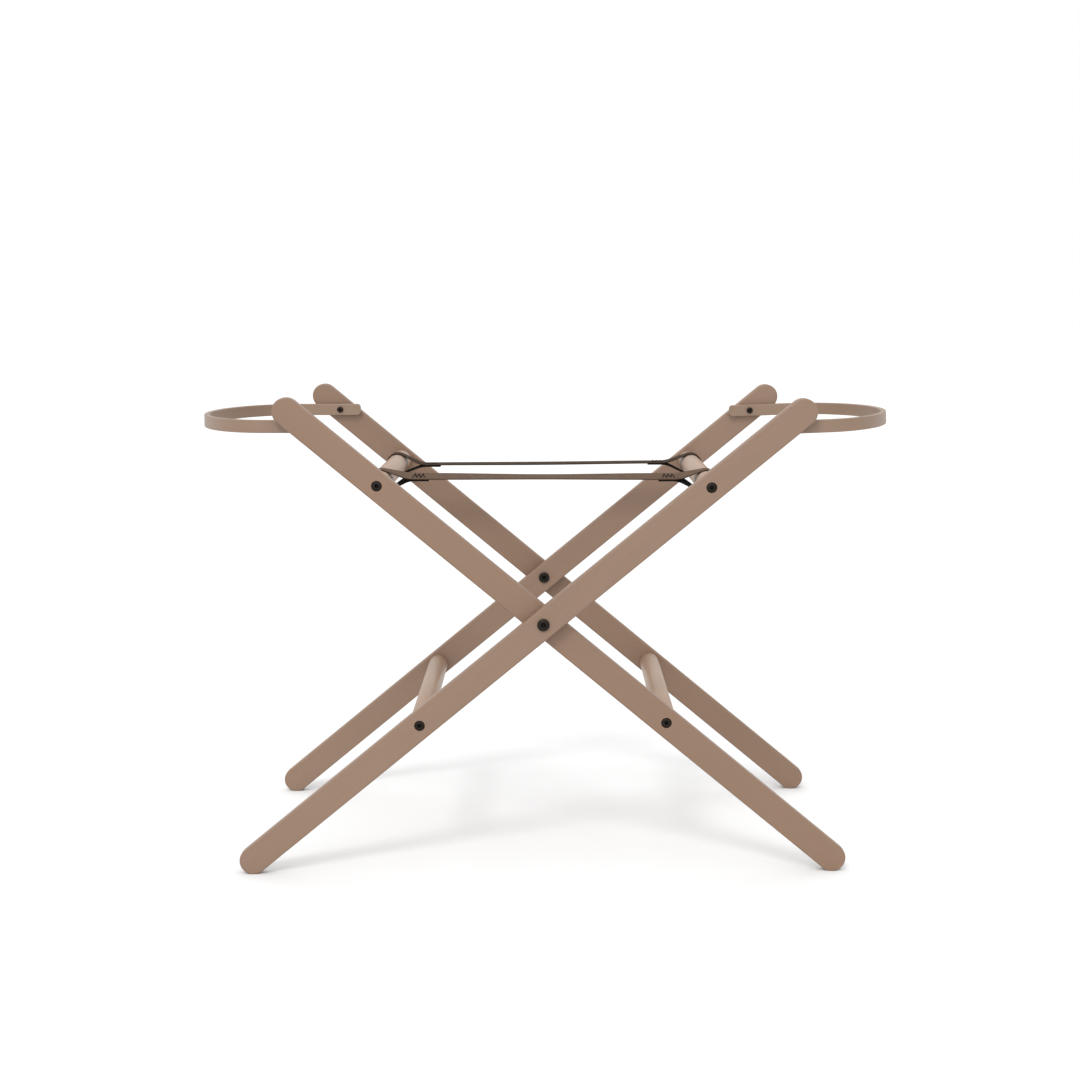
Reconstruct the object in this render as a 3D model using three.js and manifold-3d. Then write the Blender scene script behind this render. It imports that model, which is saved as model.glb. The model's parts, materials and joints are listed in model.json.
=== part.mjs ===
// Folding stand that carries a bassinet basket: two board frames, the same turned half a turn,
// that cross like scissors on two pivots. Each carries a bent wood hoop, and two webbing straps
// run between their upper crossbars.
// Millimetres. +X runs from hoop to hoop, +Y from front to rear and +Z up from the floor.

import * as THREE from "three";
import { mergeVertices } from "three/addons/utils/BufferGeometryUtils.js";
import Module from "manifold-3d";

const wasm = await Module();
wasm.setup();

// Driving dimensions of the stand
const DEPTH = 392; // over the outer faces of the two outer legs
const LEG_ANGLE = THREE.MathUtils.degToRad(39.6); // between a leg and the floor
const LEG_WIDTH = 32;
const LEG_THICKNESS = 14;
const LEG_EASE = 2; // rounding along the long edges
const UPPER_REACH = 380; // pivot to the centre of the upper round end
const LOWER_REACH = 438; // pivot to the centre of the round foot
const FOOT_FLAT = 0.5; // depth worn or sanded off each foot, so that it rests on a flat
const PIVOT_GAP = 1.5; // between the crossing legs

const CROSSBAR_DIAMETER = 25;
const UPPER_CROSSBAR = 247; // pivot to the crossbar's axis
const LOWER_CROSSBAR = 185;

const HOOP_AXIS = 352; // pivot to the hoop's screws
const HOOP_HEIGHT = 15;
const HOOP_THICKNESS = 6.5;
const HOOP_REAR_TAIL = 27; // from the screw to the free end of the rear arm
const HOOP_FRONT_TAIL = 11; // the same for the front arm, whose end stays behind the leg
const HOOP_ARM = 49; // from the screw to the start of the bend
const HOOP_REACH = 143.8; // from the screw to the outside of the bend
const HOOP_EASE = 1; // bevel along the band's edges
const HOOP_CORNER = 4.5; // rounding of an arm's free end
const HOOP_GAP = 1.4; // between an arm and the leg, filled by a washer
const RIGHT_HOOP_LIFT = THREE.MathUtils.degToRad(2.2); // the right hoop rests tipped up

const STRAP_WIDTH = 25;
const STRAP_PLY = 1.6;
const STRAP_LOOP = 32; // crossbar axis to the place where the two plies meet
const STRAP_SEAM = 24; // length of the sewn overlap
const STRAPS = [ // rise is the height of the strap above the crossbars' axes
  { name: "strap_front", y: -115, rise: 5.2 },
  { name: "strap_rear", y: 115, rise: -0.4 },
];

// Fasteners
const CLEARANCE = 0.3; // left between pieces that touch
const BOLT = { shank: 3, head: 5.7, headHeight: 4, length: 38, socket: 4, crown: 0.4 };
const BOLT_RECESS = 0.4; // how far a bolt's head sits below the leg's face
const BOLT_SEAT_GAP = 0.4; // round a bolt's head in its counterbore
const INSERT = { radius: 5, length: 14 };
const PIVOT_BOLT = { shank: 4, head: 7.1, headHeight: 3.2, length: 27, socket: 5, crown: 0.8 };
const SLEEVE_NUT = { radius: 5.6, head: 7.1, headHeight: 3.2, length: 13, socket: 5, crown: 0.8 };
const HOOP_SCREW = { shank: 2, head: 4, headHeight: 2.4, length: 21, socket: 2.5, crown: 0.5 };
const SCREW_TIP = 0.8; // chamfer at the end of a shank
const CROWN_SPREAD = 1.8; // width of a head's crown as a multiple of its fall
const PILOT_SPARE = 1.2; // depth of a pilot hole past the tip of its screw
const PIVOT_WASHER_RADIUS = 11;
const HOOP_WASHER_RADIUS = 7;
const SOCKET_SHARE = 0.65; // depth of a hexagon socket as a share of the head's height

// Working values of the solid modelling
const WELD = 1e-4; // corners closer than this become one
const PAST = 1; // how far a cutting tool runs past the face that it opens
const BEVEL_STEPS = 2;
const ROUND_STEPS = 16; // sides of a screw, pin or ring
const CROSSBAR_STEPS = 28;
const HOOP_STEPS = 28; // along the bend
const CORNER_STEPS = 6;
const FLOOR_BLOCK = { length: 120, height: 40 }; // stands for the floor below a foot

// Values worked out from the driving dimensions
const PIVOT_HEIGHT = LOWER_REACH * Math.sin(LEG_ANGLE) + LEG_WIDTH / 2 - FOOT_FLAT;
const OUTER_LEG_Y = -(DEPTH - LEG_THICKNESS) / 2;
const INNER_LEG_Y = DEPTH / 2 - PIVOT_GAP - 1.5 * LEG_THICKNESS;
const FRAME_FROM = OUTER_LEG_Y + LEG_THICKNESS / 2; // inner face of the outer leg
const FRAME_TO = INNER_LEG_Y - LEG_THICKNESS / 2; // inner face of the inner leg

const materials = {
  paint: { color: 0xa48a78, roughness: 0.55, metalness: 0 },
  crossbar: { color: 0xb39b88, roughness: 0.55, metalness: 0 },
  hoop: { color: 0xa08a76, roughness: 0.55, metalness: 0 },
  black: { color: 0x141312, roughness: 0.35, metalness: 0.6 },
  zinc: { color: 0xb9babb, roughness: 0.4, metalness: 0.9 },
  nylon: { color: 0x2a2826, roughness: 0.6, metalness: 0 },
  webbing: { color: 0x57483b, roughness: 0.9, metalness: 0 },
};

// Solid modelling helpers

function solidOf(geometry) {
  const bare = geometry.clone();
  bare.deleteAttribute("normal");
  bare.deleteAttribute("uv");
  const merged = mergeVertices(bare, WELD);
  const vertProperties = new Float32Array(merged.attributes.position.array);
  const triVerts = new Uint32Array(merged.index.array);
  return new wasm.Manifold(new wasm.Mesh({ numProp: 3, vertProperties, triVerts }));
}

function geometryOf(solid) {
  const mesh = solid.getMesh();
  const geometry = new THREE.BufferGeometry();
  geometry.setAttribute("position", new THREE.BufferAttribute(mesh.vertProperties, 3));
  geometry.setIndex(new THREE.BufferAttribute(mesh.triVerts, 1));
  geometry.computeVertexNormals();
  return geometry;
}

function cut(geometry, ...tools) {
  const start = solidOf(geometry);
  return geometryOf(tools.reduce((rest, tool) => rest.subtract(solidOf(tool)), start));
}

function join(...geometries) {
  return geometryOf(geometries.map(solidOf).reduce((whole, next) => whole.add(next)));
}

function common(first, second) {
  return geometryOf(solidOf(first).intersect(solidOf(second)));
}

// A flat outline drawn in X and Z, given a thickness in Y that is centred on Y = 0.
function slab(outline, thickness, ease = 0, curveSegments = ROUND_STEPS) {
  const geometry = new THREE.ExtrudeGeometry(outline, {
    depth: thickness - 2 * ease,
    curveSegments,
    bevelEnabled: ease > 0,
    bevelThickness: ease,
    bevelSize: ease,
    bevelOffset: -ease,
    bevelSegments: BEVEL_STEPS,
  });
  return geometry.translate(0, 0, ease - thickness / 2).rotateX(Math.PI / 2);
}

// A solid turned about the Y axis from [radius, y] corners that start and end on the axis.
function turned(corners, segments = ROUND_STEPS) {
  return new THREE.LatheGeometry(
    corners.map(([radius, y]) => new THREE.Vector2(radius, y)),
    segments,
  );
}

function pin(radius, from, to, segments = ROUND_STEPS) {
  return turned([[0, from], [radius, from], [radius, to], [0, to]], segments);
}

// A ring or washer about the Y axis, from one height to another.
function ring(outer, inner, from, to) {
  const corners = [[inner, from], [outer, from], [outer, to], [inner, to], [inner, from]];
  return turned(corners);
}

function hexagonPin(acrossFlats, from, to) {
  const radius = acrossFlats / Math.sqrt(3);
  return pin(radius, from, to, 6);
}

// Pieces of one frame

// A board with round ends, drawn with the pivot at the origin and the top toward +X.
// side is -1 for the outer leg, whose outer face looks toward -Y, and 1 for the inner leg.
function legGeometry(side) {
  const outline = new THREE.Shape();
  const radius = LEG_WIDTH / 2;
  outline.absarc(UPPER_REACH, 0, radius, -Math.PI / 2, Math.PI / 2);
  outline.absarc(-LOWER_REACH, 0, radius, Math.PI / 2, 1.5 * Math.PI);
  const board = slab(outline, LEG_THICKNESS, LEG_EASE);

  const face = (side * LEG_THICKNESS) / 2;
  const past = side * (LEG_THICKNESS / 2 + PAST);
  const tools = [];
  for (const place of [UPPER_CROSSBAR, -LOWER_CROSSBAR]) {
    const hole = pin(BOLT.shank + CLEARANCE, -LEG_THICKNESS, LEG_THICKNESS);
    const seat = face - side * (BOLT_RECESS + BOLT.headHeight + CLEARANCE);
    const seatRadius = BOLT.head + BOLT_SEAT_GAP;
    const counterbore = pin(seatRadius, Math.min(seat, past), Math.max(seat, past));
    tools.push(hole.translate(place, 0, 0), counterbore.translate(place, 0, 0));
  }

  const pivotRadius = side < 0 ? PIVOT_BOLT.shank : SLEEVE_NUT.radius;
  tools.push(pin(pivotRadius + CLEARANCE, -LEG_THICKNESS, LEG_THICKNESS));

  const aboveLeg = HOOP_GAP + HOOP_THICKNESS + CLEARANCE + HOOP_SCREW.headHeight;
  const pilotEnd = -face + side * (HOOP_SCREW.length - aboveLeg + PILOT_SPARE);
  const pilot = pin(
    HOOP_SCREW.shank + CLEARANCE,
    Math.min(pilotEnd, -past),
    Math.max(pilotEnd, -past),
  );
  tools.push(pilot.translate(HOOP_AXIS, 0, 0));

  const { length, height } = FLOOR_BLOCK;
  const floor = new THREE.BoxGeometry(length, height, height);
  floor.translate(-LOWER_REACH * Math.cos(LEG_ANGLE), 0, -PIVOT_HEIGHT - height / 2);
  floor.rotateY(LEG_ANGLE);
  tools.push(floor);
  return cut(board, ...tools);
}

// A dowel along Y whose ends are bored for a threaded insert and the tip of a bolt.
function crossbarGeometry() {
  const radius = CROSSBAR_DIAMETER / 2;
  const chamfer = 0.6;
  const from = FRAME_FROM + CLEARANCE;
  const to = FRAME_TO - CLEARANCE;
  const mouth = INSERT.radius + CLEARANCE;
  const bore = BOLT.shank + CLEARANCE;
  const insertDepth = INSERT.length + 2 * CLEARANCE;
  const boreDepth = BOLT.length - BOLT_RECESS;
  return turned([
    [0, from + boreDepth],
    [bore, from + boreDepth],
    [bore, from + insertDepth],
    [mouth, from + insertDepth],
    [mouth, from],
    [radius - chamfer, from],
    [radius, from + chamfer],
    [radius, to - chamfer],
    [radius - chamfer, to],
    [mouth, to],
    [mouth, to - insertDepth],
    [bore, to - insertDepth],
    [bore, to - boreDepth],
    [0, to - boreDepth],
  ], CROSSBAR_STEPS);
}

// A socket head screw along Y with the top of its head at Y = 0 and its tip toward +Y.
// crown is how far the edge of the head falls below its top.
function screwGeometry({ shank, head, headHeight, length, socket, crown }) {
  const body = turned([
    [0, 0],
    [head - CROWN_SPREAD * crown, 0],
    [head, crown],
    [head, headHeight],
    [shank, headHeight],
    [shank, length - SCREW_TIP],
    [shank - SCREW_TIP, length],
    [0, length],
  ]);
  return cut(body, hexagonPin(socket, -PAST, headHeight * SOCKET_SHARE));
}

// A blind sleeve with a crowned head, its top at Y = 0 and its open end toward +Y.
function sleeveNutGeometry() {
  const { radius, head, headHeight, length, socket, crown } = SLEEVE_NUT;
  const bore = PIVOT_BOLT.shank + CLEARANCE;
  const body = turned([
    [0, 0],
    [head - CROWN_SPREAD * crown, 0],
    [head, crown],
    [head, headHeight],
    [radius, headHeight],
    [radius, length],
    [bore, length],
    [bore, headHeight],
    [0, headHeight],
  ]);
  return cut(body, hexagonPin(socket, -PAST, headHeight * SOCKET_SHARE));
}

// An arm of a hoop seen from the side, with a rounded free end at X = -tail.
function armView(tail) {
  const half = HOOP_HEIGHT / 2;
  const cornerX = HOOP_CORNER - tail;
  const view = new THREE.Shape();
  view.moveTo(HOOP_REACH + PAST, -half - PAST);
  view.lineTo(HOOP_REACH + PAST, half + PAST);
  view.lineTo(cornerX, half + PAST);
  view.lineTo(cornerX, half);
  view.absarc(cornerX, half - HOOP_CORNER, HOOP_CORNER, Math.PI / 2, Math.PI);
  view.absarc(cornerX, HOOP_CORNER - half, HOOP_CORNER, Math.PI, 1.5 * Math.PI);
  view.lineTo(cornerX, -half - PAST);
  return view;
}

// One bent band, flat in X and Y: straight arms, then half an ellipse. X = 0 is the axis of the
// screws and Y = 0 is halfway between the arms. frontSide is -1 where the front arm is at -Y.
function hoopGeometry(frontSide) {
  const halfWidth = (FRAME_TO - FRAME_FROM - HOOP_THICKNESS) / 2 - HOOP_GAP;
  const bendLength = HOOP_REACH - HOOP_THICKNESS / 2 - HOOP_ARM;
  const firstTail = frontSide < 0 ? HOOP_FRONT_TAIL : HOOP_REAR_TAIL;
  const lastTail = frontSide < 0 ? HOOP_REAR_TAIL : HOOP_FRONT_TAIL;
  const edge = (offset) => {
    const points = [];
    for (let step = 0; step <= HOOP_STEPS; step += 1) {
      const turn = -Math.PI / 2 + (Math.PI * step) / HOOP_STEPS;
      const x = bendLength * Math.cos(turn);
      const y = halfWidth * Math.sin(turn);
      const normal = new THREE.Vector2(x / bendLength ** 2, y / halfWidth ** 2).normalize();
      points.push(new THREE.Vector2(HOOP_ARM + x + offset * normal.x, y + offset * normal.y));
    }
    const width = halfWidth + offset;
    const first = new THREE.Vector2(-firstTail, -width);
    const last = new THREE.Vector2(-lastTail, width);
    return [first, ...points, last];
  };
  const outside = edge(HOOP_THICKNESS / 2);
  const inside = edge(-HOOP_THICKNESS / 2).reverse();
  const band = new THREE.ExtrudeGeometry(new THREE.Shape([...outside, ...inside]), {
    depth: HOOP_HEIGHT - 2 * HOOP_EASE,
    bevelThickness: HOOP_EASE,
    bevelSize: HOOP_EASE,
    bevelOffset: -HOOP_EASE,
    bevelSegments: 1,
  });
  band.translate(0, 0, HOOP_EASE - HOOP_HEIGHT / 2);

  const firstHalf = slab(armView(firstTail), DEPTH, 0, CORNER_STEPS).translate(0, -DEPTH / 2, 0);
  const lastHalf = slab(armView(lastTail), DEPTH, 0, CORNER_STEPS).translate(0, DEPTH / 2, 0);
  const rounded = common(band, join(firstHalf, lastHalf));
  return cut(rounded, pin(HOOP_SCREW.shank + 2 * CLEARANCE, -DEPTH, DEPTH));
}

// A sewn loop about the Y axis whose two plies leave a crossbar and meet on its +X side.
function strapLoopGeometry(rise) {
  const innerRadius = CROSSBAR_DIAMETER / 2 + CLEARANCE;
  const spread = Math.acos(innerRadius / STRAP_LOOP);
  const teardrop = (radius, width) => {
    const outline = new THREE.Shape();
    outline.absarc(0, 0, radius, spread, 2 * Math.PI - spread);
    outline.lineTo(radius / Math.cos(spread), 0);
    return slab(outline, width);
  };
  const outside = teardrop(innerRadius + STRAP_PLY, STRAP_WIDTH);
  const loop = cut(outside, teardrop(innerRadius, 2 * STRAP_WIDTH));
  return loop.rotateY(-Math.asin(rise / STRAP_LOOP));
}

// A strap along X, with a loop round the upper crossbar at each end. Z = 0 is the
// crossbars' axes.
function strapGeometry(rise) {
  const crossbarX = UPPER_CROSSBAR * Math.cos(LEG_ANGLE);
  const tip = crossbarX - STRAP_LOOP - STRAP_PLY;
  const block = (from, to, height) => {
    const box = new THREE.BoxGeometry(to - from, STRAP_WIDTH, height);
    return box.translate((from + to) / 2, 0, rise);
  };
  const loop = strapLoopGeometry(rise);
  return join(
    block(-tip, tip, STRAP_PLY),
    block(-tip, STRAP_SEAM - tip, 2 * STRAP_PLY),
    block(tip - STRAP_SEAM, tip, 2 * STRAP_PLY),
    loop.clone().translate(-crossbarX, 0, 0),
    loop.rotateZ(Math.PI).translate(crossbarX, 0, 0),
  );
}

// Assembly

const stand = new THREE.Group();

function place(parent, name, geometry, material, x = 0, y = 0, z = 0) {
  const mesh = new THREE.Mesh(geometry, new THREE.MeshStandardMaterial(materials[material]));
  mesh.name = name;
  mesh.position.set(x, y, z);
  parent.add(mesh);
  return mesh;
}

function addFrame({ letter, turn, frontSide, hoopLift }) {
  const frame = new THREE.Group();
  frame.rotation.z = turn;
  stand.add(frame);

  const boards = new THREE.Group();
  boards.position.z = PIVOT_HEIGHT;
  boards.rotation.y = -LEG_ANGLE;
  frame.add(boards);

  const legs = [
    { name: "outer", side: -1, y: OUTER_LEG_Y },
    { name: "inner", side: 1, y: INNER_LEG_Y },
  ];
  const crossbars = [
    { name: "upper", along: UPPER_CROSSBAR },
    { name: "lower", along: -LOWER_CROSSBAR },
  ];
  for (const bar of crossbars) {
    const name = `crossbar_${letter}_${bar.name}`;
    place(boards, name, crossbarGeometry(), "crossbar", bar.along);
  }
  for (const leg of legs) {
    const flip = leg.side < 0 ? 0 : Math.PI;
    const faceY = leg.y + (leg.side * LEG_THICKNESS) / 2;
    place(boards, `leg_${letter}_${leg.name}`, legGeometry(leg.side), "paint", 0, leg.y);
    for (const bar of crossbars) {
      const label = `${letter}_${bar.name}_${leg.name}`;
      const headY = faceY - leg.side * BOLT_RECESS;
      const bolt = screwGeometry(BOLT);
      place(boards, `crossbar_bolt_${label}`, bolt, "black", bar.along, headY).rotation.z = flip;

      const insert = ring(INSERT.radius, BOLT.shank + CLEARANCE, 0, INSERT.length);
      const insertY = faceY - leg.side * (LEG_THICKNESS + 2 * CLEARANCE);
      place(boards, `insert_${label}`, insert, "zinc", bar.along, insertY).rotation.z = flip;
    }
  }

  const boltY = FRAME_FROM - LEG_THICKNESS - PIVOT_BOLT.headHeight - CLEARANCE;
  place(boards, `pivot_bolt_${letter}`, screwGeometry(PIVOT_BOLT), "black", 0, boltY);
  const nutY = FRAME_TO - SLEEVE_NUT.headHeight - CLEARANCE;
  place(boards, `pivot_nut_${letter}`, sleeveNutGeometry(), "black", 0, nutY);
  const washer = ring(
    PIVOT_WASHER_RADIUS,
    PIVOT_BOLT.shank + CLEARANCE,
    CLEARANCE,
    PIVOT_GAP - CLEARANCE,
  );
  place(boards, `pivot_washer_${letter}`, washer, "nylon", 0, FRAME_FROM);

  const screwX = HOOP_AXIS * Math.cos(LEG_ANGLE);
  const hoopZ = PIVOT_HEIGHT + HOOP_AXIS * Math.sin(LEG_ANGLE);
  const middleY = (FRAME_FROM + FRAME_TO) / 2;
  const band = hoopGeometry(frontSide);
  place(frame, `hoop_${letter}`, band, "hoop", screwX, middleY, hoopZ).rotation.y = -hoopLift;
  for (const leg of legs) {
    const flip = leg.side < 0 ? Math.PI : 0;
    const innerFace = leg.y - (leg.side * LEG_THICKNESS) / 2;
    const toMiddle = -leg.side;
    const armFace = innerFace + toMiddle * (HOOP_GAP + HOOP_THICKNESS);
    const headY = armFace + toMiddle * (HOOP_SCREW.headHeight + CLEARANCE);
    const screw = screwGeometry(HOOP_SCREW);
    const screwName = `hoop_screw_${letter}_${leg.name}`;
    place(frame, screwName, screw, "black", screwX, headY, hoopZ).rotation.z = flip;

    const spacer = ring(
      HOOP_WASHER_RADIUS,
      HOOP_SCREW.shank + CLEARANCE,
      CLEARANCE,
      HOOP_GAP - CLEARANCE,
    );
    const spacerName = `hoop_washer_${letter}_${leg.name}`;
    const spacerFlip = leg.side < 0 ? 0 : Math.PI;
    place(frame, spacerName, spacer, "nylon", screwX, innerFace, hoopZ).rotation.z = spacerFlip;
  }
}

addFrame({ letter: "a", turn: 0, frontSide: -1, hoopLift: RIGHT_HOOP_LIFT });
addFrame({ letter: "b", turn: Math.PI, frontSide: 1, hoopLift: 0 });

const strapHeight = PIVOT_HEIGHT + UPPER_CROSSBAR * Math.sin(LEG_ANGLE);
for (const strap of STRAPS) {
  place(stand, strap.name, strapGeometry(strap.rise), "webbing", 0, strap.y, strapHeight);
}

export default stand;
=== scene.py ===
"""Folding stand for a bassinet basket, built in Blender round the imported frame.

Metres, +X from hoop to hoop, +Y from front to rear, +Z up from the floor. Frame A's legs rise
toward +X. Frame B is frame A turned half a turn about Z.
"""
import json
import math
import random

import bmesh
import bpy
from mathutils import Matrix, Vector


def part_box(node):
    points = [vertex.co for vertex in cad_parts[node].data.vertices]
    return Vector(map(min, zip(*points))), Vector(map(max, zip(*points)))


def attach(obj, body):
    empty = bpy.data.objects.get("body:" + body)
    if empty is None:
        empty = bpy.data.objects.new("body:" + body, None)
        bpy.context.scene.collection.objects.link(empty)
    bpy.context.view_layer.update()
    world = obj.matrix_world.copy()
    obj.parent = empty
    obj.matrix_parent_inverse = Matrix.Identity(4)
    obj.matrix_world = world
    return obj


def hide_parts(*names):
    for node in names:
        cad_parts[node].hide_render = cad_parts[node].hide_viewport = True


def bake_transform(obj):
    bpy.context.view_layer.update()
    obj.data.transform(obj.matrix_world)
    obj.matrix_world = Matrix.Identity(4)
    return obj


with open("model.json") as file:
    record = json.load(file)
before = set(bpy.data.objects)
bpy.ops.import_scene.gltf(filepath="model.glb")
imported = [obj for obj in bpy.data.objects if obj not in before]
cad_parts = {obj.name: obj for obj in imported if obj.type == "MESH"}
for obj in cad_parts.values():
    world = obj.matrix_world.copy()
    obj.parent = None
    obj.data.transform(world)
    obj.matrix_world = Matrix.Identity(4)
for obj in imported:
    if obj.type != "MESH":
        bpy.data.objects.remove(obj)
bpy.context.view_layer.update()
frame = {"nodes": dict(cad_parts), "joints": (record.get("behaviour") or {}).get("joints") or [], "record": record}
scene = bpy.context.scene
MM = 0.001

# ---------------------------------------------------------------------------------------------
# Sizes and places read from the frame
# ---------------------------------------------------------------------------------------------

JOINTS = {joint["name"]: joint for joint in frame["joints"]}
PIVOT = Vector(JOINTS["frame_fold"]["pos_m"])
HOOP_AXIS = Vector(JOINTS["right_hoop_pivot"]["pos_m"])
ALONG = (HOOP_AXIS - PIVOT).normalized()
ACROSS = Vector((-ALONG.z, 0, ALONG.x))
HALF_TURN = Matrix.Rotation(math.pi, 4, "Z")
LETTERS = ("a", "b")

# Sizes that the frame's boxes do not give
LEG_EASE = 2 * MM
RIM_EASE = 0.35 * MM
WELD = 0.01 * MM
RIM_STEPS = 2
FLOOR_CUTTER = {"radius": 80 * MM, "half_width": 40 * MM}
BOLT_SEAT = {"gap": 0.4 * MM, "depth": 4.7 * MM}  # the counterbore round a bolt head
BOLT_HOLE = 3.3 * MM
PIVOT_HOLE = {"outer": 4.3 * MM, "inner": 5.9 * MM}
HOOP_PILOT = {"radius": 2.3 * MM, "cover": 3 * MM}
CROSSBAR_EASE = 0.8 * MM
CROSSBAR_STEPS = 72
CROSSBAR_BORE = {"radius": 5.3 * MM, "depth": 14.6 * MM}
BOLT = {"shank": 3 * MM, "head_height": 4 * MM, "socket": 4 * MM, "crown": 0.9 * MM}
HOOP_SCREW = {"shank": 2 * MM, "head_height": 2.4 * MM, "socket": 2.5 * MM, "crown": 1.1 * MM}
PIVOT_BOLT = {"shank": 4 * MM, "head_height": 3.2 * MM, "socket": 5 * MM, "crown": 1.3 * MM}
SLEEVE_NUT = {"shank": 5.6 * MM, "head_height": 3.2 * MM, "socket": 5 * MM, "crown": 1.2 * MM}
HOOP_THICKNESS = 6.5 * MM
HOOP_ARM = 49 * MM  # from the screws to the start of the bend
HOOP_FRONT_TAIL = 11 * MM  # from the screw to the front arm's end
HOOP_CORNER = 4.5 * MM
HOOP_EASE = 1.2 * MM
HOOP_HOLE = 2.7 * MM
RIGHT_HOOP_LIFT = math.radians(2.2)
STRAP_PLY = 1.6 * MM
STRAP_LOOP = 32 * MM  # from the crossbar's axis to where the plies meet
STRAP_SEAM = 24 * MM  # length of the sewn overlap
STRAP_GAP = 0.3 * MM  # between the webbing and the crossbar
STRAP_BEND = 7 * MM  # from the plies' corner to each end of its soft bend
STRAP_SAG = 0.5 * MM
STRAP_STEP = 1.2 * MM
STRAP_TILT = {"front": 0.0, "rear": 3 * MM}  # how much higher the right end lies
STRAP_ROLL = {
    "front": {"seam": math.radians(11), "middle": math.radians(6.6)},
    "rear": {"seam": math.radians(2), "middle": math.radians(2.5)},
}
STITCH = {"from_bar": 37 * MM, "length": 14 * MM, "rows": 6, "half_width": 8.5 * MM,
          "radius": 0.6 * MM, "step": 0.8 * MM}
CAMERA = {
    "place": (0.0053, -2.2208, 0.6566),
    "down": math.radians(7.43),
    "left": math.radians(0.26),
    "lens": 60,
    "sensor": 36,
}


def centre(node):
    low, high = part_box(node)
    return (low + high) / 2


def size(node):
    low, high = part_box(node)
    return high - low


def placed(letter, matrix):
    """The same place on frame A or, turned half a turn, on frame B."""
    return matrix if letter == "a" else HALF_TURN @ matrix


# ---------------------------------------------------------------------------------------------
# Mesh helpers
# ---------------------------------------------------------------------------------------------


def add_object(name, mesh):
    piece = bpy.data.objects.new(name, mesh)
    scene.collection.objects.link(piece)
    return piece


def mesh_from(name, vertices, faces):
    mesh = bpy.data.meshes.new(name)
    mesh.from_pydata([tuple(vertex) for vertex in vertices], [], faces)
    mesh.validate()
    mesh.update()
    return mesh


def outward(mesh):
    """Turns every face of a closed mesh to point out."""
    work = bmesh.new()
    work.from_mesh(mesh)
    bmesh.ops.recalc_face_normals(work, faces=work.faces)
    work.to_mesh(mesh)
    work.free()
    return mesh


def weld(mesh):
    """Joins points that nearly meet, and drops the slivers between them."""
    work = bmesh.new()
    work.from_mesh(mesh)
    bmesh.ops.remove_doubles(work, verts=work.verts, dist=WELD)
    bmesh.ops.dissolve_degenerate(work, edges=work.edges, dist=WELD)
    work.to_mesh(mesh)
    work.free()


def smooth(mesh, degrees=35):
    mesh.shade_smooth()
    mesh.set_sharp_from_angle(angle=math.radians(degrees))


def apply_modifiers(piece):
    """Bakes a piece's modifiers into its mesh."""
    graph = bpy.context.evaluated_depsgraph_get()
    mesh = bpy.data.meshes.new_from_object(piece.evaluated_get(graph))
    piece.modifiers.clear()
    piece.data = mesh


def cut_holes(piece, cutters):
    """Subtracts the cutter meshes, then eases the rims that they leave."""
    made = [add_object("cutter", cutter) for cutter in cutters]
    for cutter in made:
        modifier = piece.modifiers.new("cut", "BOOLEAN")
        modifier.operation = "DIFFERENCE"
        modifier.solver = "EXACT"
        modifier.object = cutter
    apply_modifiers(piece)
    for cutter in made:
        bpy.data.objects.remove(cutter)
    weld(piece.data)
    bevel = piece.modifiers.new("rim", "BEVEL")
    bevel.width = RIM_EASE
    bevel.segments = RIM_STEPS
    bevel.limit_method = "ANGLE"
    bevel.angle_limit = math.radians(60)
    apply_modifiers(piece)
    weld(piece.data)
    smooth(piece.data)
    weighted = piece.modifiers.new("normals", "WEIGHTED_NORMAL")
    weighted.keep_sharp = True
    apply_modifiers(piece)


def ring_of(radius, y, segments):
    turns = [2 * math.pi * step / segments for step in range(segments)]
    return [Vector((radius * math.cos(turn), y, radius * math.sin(turn))) for turn in turns]


def hexagon_of(across_flats, y, segments):
    """A hexagon about Y that has as many points as a ring with the same segments."""
    points = []
    for step in range(segments):
        turn = 2 * math.pi * step / segments
        from_flat = (turn % (math.pi / 3)) - math.pi / 6
        reach = across_flats / 2 / math.cos(from_flat)
        points.append(Vector((reach * math.cos(turn), y, reach * math.sin(turn))))
    return points


def tube(name, vertices, count):
    """A closed mesh through rings of count vertices each, with a flat face on each end ring."""
    levels = len(vertices) // count
    faces = [list(range(count)), [len(vertices) - count + step for step in range(count)]]
    for level in range(levels - 1):
        base = level * count
        for step in range(count):
            after = (step + 1) % count
            faces.append([base + step, base + after, base + count + after, base + count + step])
    return outward(mesh_from(name, vertices, faces))


def loft(name, rings):
    """A closed mesh through a list of rings of equal length."""
    return tube(name, [point for ring in rings for point in ring], len(rings[0]))


def turned(name, profile, segments=48):
    """A solid turned about Y from (radius, y) corners, closed by a flat face at each end."""
    return loft(name, [ring_of(radius, y, segments) for radius, y in profile])


def moved(mesh, matrix):
    mesh.transform(matrix)
    return mesh


def add_uv(mesh, name, places):
    """Adds a UV layer that gives each vertex the place in the list with its number."""
    layer = mesh.uv_layers.new(name=name)
    for loop in mesh.loops:
        layer.data[loop.index].uv = places[loop.vertex_index]


def finish_piece(piece, body, slot, material, *nodes):
    """Gives a piece its material, its body and the nodes that it stands for.
    """
    piece.data.materials.clear()
    piece.data.materials.append(material)
    if body:
        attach(piece, body)
    if nodes:
        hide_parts(*nodes)


# ---------------------------------------------------------------------------------------------
# Materials
# ---------------------------------------------------------------------------------------------


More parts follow.
